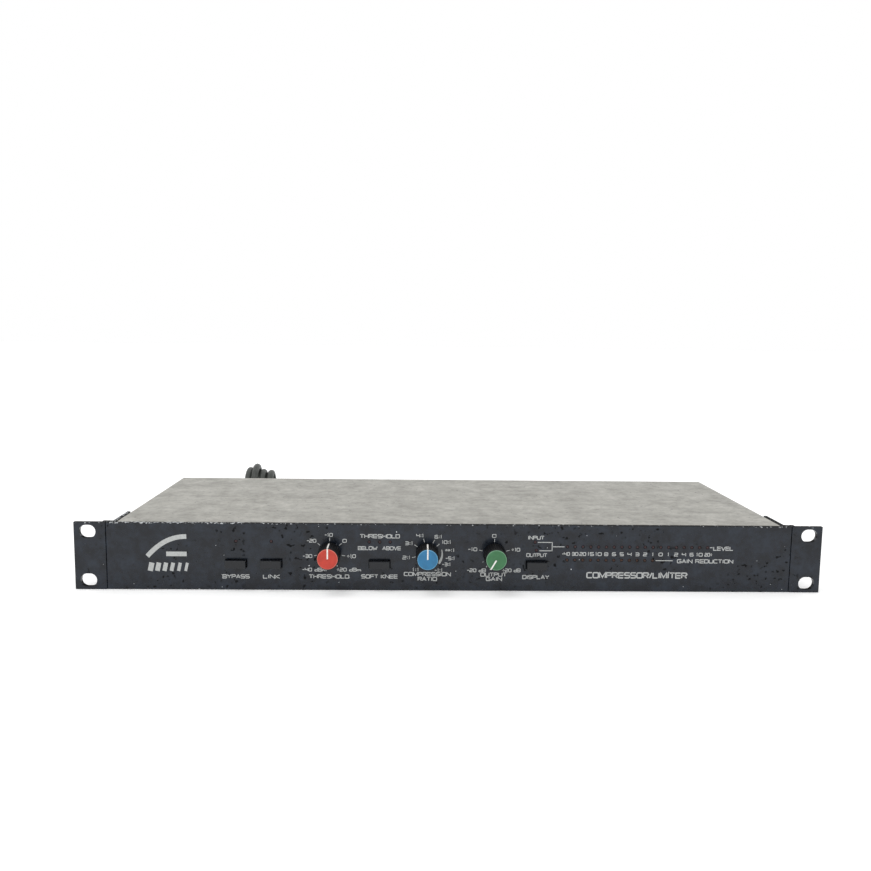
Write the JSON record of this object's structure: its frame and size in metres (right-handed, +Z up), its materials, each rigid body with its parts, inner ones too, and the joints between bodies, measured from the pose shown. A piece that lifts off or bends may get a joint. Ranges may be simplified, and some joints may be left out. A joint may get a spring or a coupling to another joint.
{
  "type": "rack compressor",
  "caption": "One-unit 19-inch rack audio compressor with rotary controls, push buttons, a lamp meter, rear jacks and terminals, and a tied mains lead.",
  "frame": {"origin": "centre of the four rack slots, on the plane where the ears' rail plates sit against the rack rails", "axes": "+X right seen from the front, +Y to the rear, +Z up"},
  "size_m": [0.4826, 0.3525, 0.0489],
  "materials": {
    "panel_enamel": "satin",
    "cover_enamel": "textured satin",
    "tray_enamel": "satin",
    "black_screw": "black zinc",
    "zinc_steel": "zinc plated",
    "knob_nylon": "moulded",
    "cap_red": "satin",
    "cap_blue": "satin",
    "cap_green": "satin",
    "shaft_aluminium": "turned",
    "control_case": "moulded",
    "nickel": "nickel plated",
    "button_abs": "worn satin",
    "lamp_red": "clear moulded",
    "lamp_amber": "clear moulded",
    "circuit_laminate": "solder mask",
    "ribbon_vinyl": "extruded",
    "core_steel": "varnished laminations",
    "winding_tape": "polyester tape",
    "capacitor_sleeve": "shrunk sleeve",
    "moulded_epoxy": "moulded",
    "sink_aluminium": "plain",
    "fuse_glass": "clear",
    "clip_brass": "tinned",
    "jack_nylon": "moulded",
    "lead_vinyl": "extruded"
  },
  "bodies": {
    "root": {"amplifier_chips": "moulded_epoxy", "board_screws": "zinc_steel", "chassis_tray": "tray_enamel", "cord_hank": "lead_vinyl", "cover_screws": "black_screw", "ear_screws": "black_screw", "filter_capacitors": "capacitor_sleeve", "front_board": "circuit_laminate", "front_panel": "panel_enamel", "fuse": "fuse_glass", "fuse_clips": "clip_brass", "gain_cell": "sink_aluminium", "hank_tie": "lead_vinyl", "heatsink": "sink_aluminium", "jack_nuts": "nickel", "lead_tail": "lead_vinyl", "leds_indicator": "lamp_red", "leds_level": "lamp_red", "leds_reduction": "lamp_amber", "level_detector": "sink_aluminium", "main_board": "circuit_laminate", "mains_lead": "lead_vinyl", "mains_plug": "lead_vinyl", "panel_nuts": "zinc_steel", "phone_jacks": "jack_nylon", "pot_gain": "control_case", "pot_nuts": "nickel", "pot_ratio": "control_case", "pot_threshold": "control_case", "rack_ear_left": "panel_enamel", "rack_ear_right": "panel_enamel", "rectifier_diodes": "moulded_epoxy", "regulators": "moulded_epoxy", "ribbon_cable": "ribbon_vinyl", "standoffs": "zinc_steel", "strain_relief": "lead_vinyl", "switch_bypass": "control_case", "switch_display": "control_case", "switch_knee": "control_case", "switch_link": "control_case", "terminal_screws": "zinc_steel", "terminal_strips": "jack_nylon", "top_cover": "cover_enamel", "transformer_core": "core_steel", "transformer_screws": "zinc_steel", "transformer_winding": "winding_tape", "trim_pots": "control_case"},
    "threshold_control": {"knob_threshold": "knob_nylon", "cap_threshold": "cap_red", "shaft_threshold": "shaft_aluminium"},
    "ratio_control": {"knob_ratio": "knob_nylon", "cap_ratio": "cap_blue", "shaft_ratio": "shaft_aluminium"},
    "gain_control": {"knob_gain": "knob_nylon", "cap_gain": "cap_green", "shaft_gain": "shaft_aluminium"},
    "bypass_key": {"button_bypass": "button_abs"},
    "link_key": {"button_link": "button_abs"},
    "knee_key": {"button_knee": "button_abs"},
    "display_key": {"button_display": "button_abs"}
  },
  "joints": [
    {"name": "threshold_turn", "type": "hinge", "parent": "root", "child": "threshold_control", "pos_m": [-0.0788, -0.0032, 0.00265], "axis": [0, 1, 0], "range_deg": [-150, 150]},
    {"name": "ratio_turn", "type": "hinge", "parent": "root", "child": "ratio_control", "pos_m": [-0.016, -0.0032, 0.00265], "axis": [0, 1, 0], "range_deg": [-150, 150]},
    {"name": "gain_turn", "type": "hinge", "parent": "root", "child": "gain_control", "pos_m": [0.0273, -0.0032, 0.00265], "axis": [0, 1, 0], "range_deg": [0, 300]},
    {"name": "bypass_press", "type": "slide", "parent": "root", "child": "bypass_key", "axis": [0, 1, 0], "range_m": [0, 0.0035], "stiffness_N_per_m": 300, "springref_m": -0.002},
    {"name": "link_press", "type": "slide", "parent": "root", "child": "link_key", "axis": [0, 1, 0], "range_m": [0, 0.0035], "stiffness_N_per_m": 300, "springref_m": -0.002},
    {"name": "knee_press", "type": "slide", "parent": "root", "child": "knee_key", "axis": [0, 1, 0], "range_m": [0, 0.0035], "stiffness_N_per_m": 300, "springref_m": -0.002},
    {"name": "display_press", "type": "slide", "parent": "root", "child": "display_key", "axis": [0, 1, 0], "range_m": [0, 0.0035], "stiffness_N_per_m": 300, "springref_m": -0.002}
  ]
}
